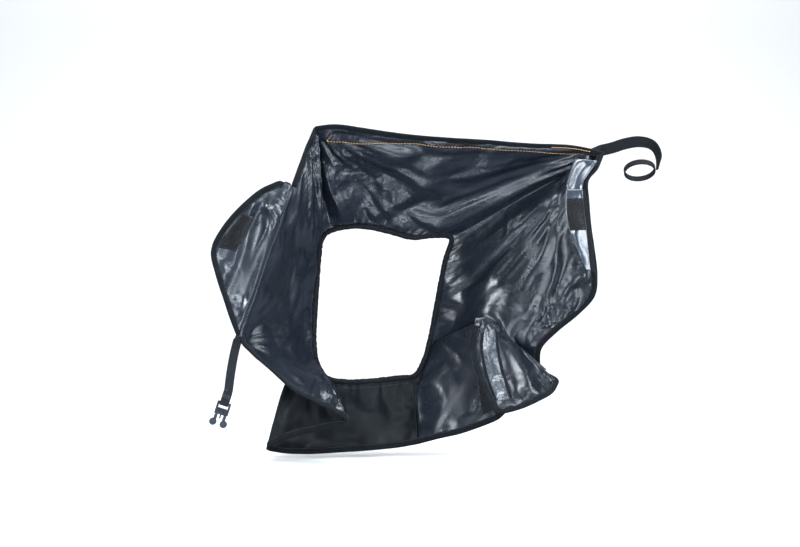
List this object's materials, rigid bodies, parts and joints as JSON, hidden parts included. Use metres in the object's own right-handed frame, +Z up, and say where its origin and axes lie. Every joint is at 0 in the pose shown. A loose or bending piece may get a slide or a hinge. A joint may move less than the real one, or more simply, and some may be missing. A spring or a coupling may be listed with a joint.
{
  "type": "camera rain cover",
  "caption": "Soft rain sleeve for a camera: elasticated rear opening, bound front rim, hinged side flap, closure tab, lapped fly, buckle strap and elastic hand loop.",
  "frame": {"origin": "centre of the elasticated rear opening", "axes": "+Z up as the cover hangs open, +Y out through the rear opening, -Y to the front rim, +X to the right seen from the front"},
  "size_m": [0.5133, 0.1422, 0.3813],
  "materials": {
    "coated_fabric": "thin coated nylon, satin, finely crinkled",
    "glossy_fabric": "same coated nylon seen on its glossier taut side",
    "binding_tape": "folded ribbed polyester binding",
    "hem_fabric": "gathered hem of the coated nylon",
    "elastic_cord": "round covered elastic cord",
    "loop_pile": "dense short pile, matt",
    "hook_tape": "moulded hook tape, glossy",
    "orange_thread": "polyester sewing thread",
    "black_thread": "polyester sewing thread",
    "webbing": "narrow woven nylon webbing",
    "elastic_band": "ribbed woven elastic band",
    "buckle_plastic": "moulded acetal, satin"
  },
  "bodies": {
    "cover": {"top_panel": "coated_fabric", "right_panel": "coated_fabric", "left_panel": "coated_fabric", "left_gusset": "coated_fabric", "bottom_panel": "coated_fabric", "lower_right_panel": "coated_fabric", "top_binding": "binding_tape", "right_binding": "binding_tape", "corner_binding": "binding_tape", "left_lower_binding": "binding_tape", "gusset_binding": "binding_tape", "bottom_binding": "binding_tape", "lower_right_binding": "binding_tape", "rear_hem": "hem_fabric", "hem_elastic": "elastic_cord", "top_hem_stitching": "orange_thread", "top_facing": "coated_fabric", "corner_facing": "coated_fabric", "fly_loop_tape": "loop_pile"},
    "side_flap": {"left_flap": "glossy_fabric", "flap_binding": "binding_tape", "left_loop_patch": "loop_pile"},
    "fly": {"fly_flap": "coated_fabric", "fly_edge_binding": "binding_tape", "fly_rim_binding": "binding_tape", "fly_hook_tape": "hook_tape", "fly_stitching": "black_thread"},
    "tab": {"closure_tab": "glossy_fabric", "tab_hook_patch": "loop_pile"},
    "strap": {"buckle_strap": "webbing", "strap_loop": "webbing", "strap_bartack": "black_thread"},
    "plug": {"buckle_frame": "buckle_plastic"},
    "left_prong": {"prong_left": "buckle_plastic"},
    "right_prong": {"prong_right": "buckle_plastic"},
    "hand_loop": {"hand_band": "elastic_band"},
    "loop_ring": {"hand_ring": "elastic_band"},
    "socket_hanger": {"socket_strap": "webbing", "socket_loop": "webbing"},
    "socket": {"buckle_socket": "buckle_plastic"}
  },
  "joints": [
    {"name": "side_flap_fold", "type": "hinge", "parent": "cover", "child": "side_flap", "pos_m": [-0.10152, -0.09, 0.13651], "axis": [0.3112, 0.0898, 0.9461], "range_deg": [-25, 70]},
    {"name": "fly_fold", "type": "hinge", "parent": "cover", "child": "fly", "pos_m": [0.20315, -0.05, -0.08778], "axis": [-0.7388, 0.0708, 0.6702], "range_deg": [-10, 60]},
    {"name": "tab_fold", "type": "hinge", "parent": "cover", "child": "tab", "pos_m": [0.22539, -0.084, 0.13203], "axis": [-0.0715, 0.1623, 0.9841], "range_deg": [0, 100]},
    {"name": "strap_swing", "type": "hinge", "parent": "cover", "child": "strap", "pos_m": [-0.16105, -0.0965, -0.0369], "axis": [0, 1, 0], "range_deg": [-15, 50]},
    {"name": "plug_tilt", "type": "hinge", "parent": "strap", "child": "plug", "pos_m": [-0.17512, -0.1, -0.1068], "axis": [0.9511, 0, -0.309], "range_deg": [-30, 30]},
    {"name": "right_prong_flex", "type": "hinge", "parent": "plug", "child": "right_prong", "pos_m": [-0.17454, -0.1, -0.12118], "axis": [0, 1, 0], "range_deg": [0, 8], "stiffness_Nm_per_rad": 0.4},
    {"name": "left_prong_flex", "type": "hinge", "parent": "plug", "child": "left_prong", "pos_m": [-0.18405, -0.1, -0.11809], "axis": [0, -1, 0], "range_deg": [0, 8], "stiffness_Nm_per_rad": 0.4},
    {"name": "hand_loop_swing", "type": "hinge", "parent": "cover", "child": "hand_loop", "pos_m": [0.25053, -0.054, 0.17884], "axis": [0, 1, 0], "range_deg": [-25, 25]},
    {"name": "ring_tilt", "type": "hinge", "parent": "hand_loop", "child": "loop_ring", "pos_m": [0.31544, -0.046, 0.15653], "axis": [0, 1, 0], "range_deg": [-12, 12]},
    {"name": "socket_swing", "type": "hinge", "parent": "cover", "child": "socket_hanger", "pos_m": [0.17165, -0.035, -0.04763], "axis": [0, 1, 0], "range_deg": [-20, 20]},
    {"name": "socket_tilt", "type": "hinge", "parent": "socket_hanger", "child": "socket", "pos_m": [0.17235, -0.028, -0.07745], "axis": [1, 0, 0], "range_deg": [-25, 25]}
  ],
  "couplings": [
    {"joint": "left_prong_flex", "follows": "right_prong_flex", "ratio": 1}
  ]
}
